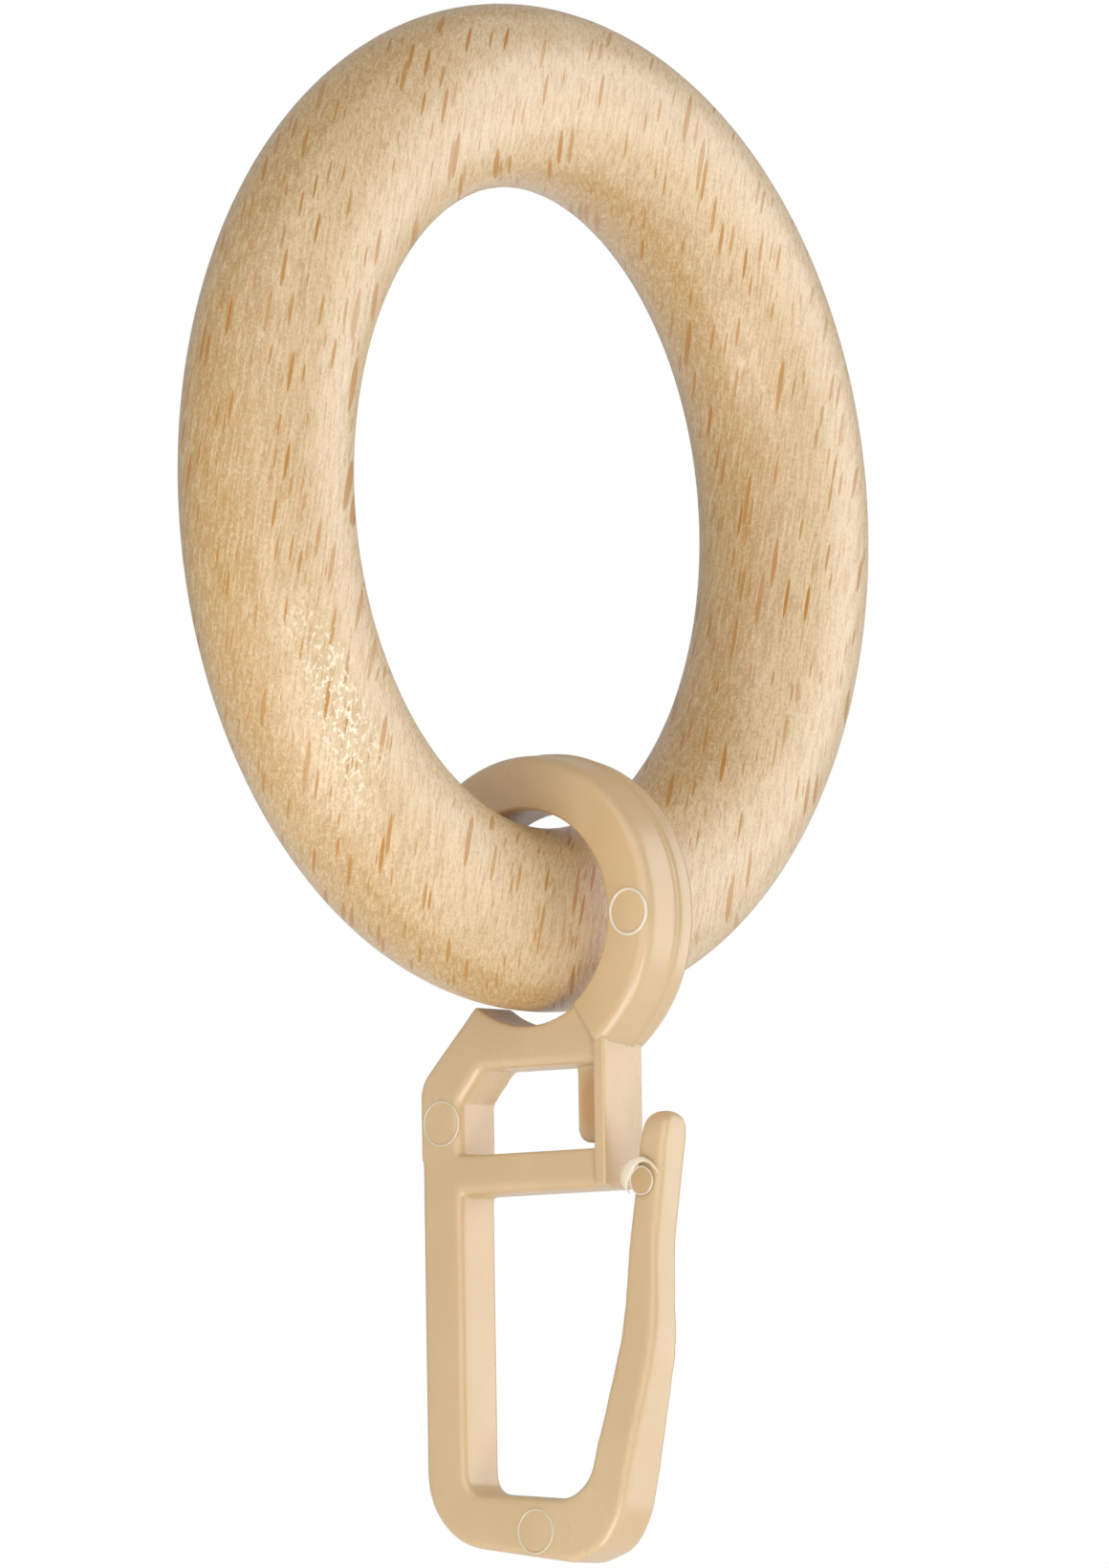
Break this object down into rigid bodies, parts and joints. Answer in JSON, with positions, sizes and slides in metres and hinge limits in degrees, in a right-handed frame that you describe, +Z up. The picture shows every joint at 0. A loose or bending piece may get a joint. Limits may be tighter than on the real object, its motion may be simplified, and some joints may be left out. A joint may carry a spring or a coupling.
{
  "type": "curtain ring",
  "caption": "Turned beech curtain ring with a swinging beige plastic hook: a sprung eye round the wood, a latch under it and an open loop for the curtain's heading tape.",
  "frame": {"origin": "centre of the wooden ring, on the axis of the pole that it runs on", "axes": "+Y along the pole, +Z up, so the hook hangs towards -Z; the hook's flat frame lies in the YZ plane with its open arm on the -Y side"},
  "size_m": [0.044, 0.0149, 0.068],
  "materials": {
    "beech": "satin lacquer",
    "beige_plastic": "satin"
  },
  "bodies": {
    "wooden_ring": {"wooden_ring": "beech"},
    "hook": {"hook": "beige_plastic"}
  },
  "joints": [
    {"name": "hook_swing", "type": "hinge", "parent": "wooden_ring", "child": "hook", "pos_m": [0, 0, -0.018], "axis": [1, 0, 0], "continuous": true}
  ]
}
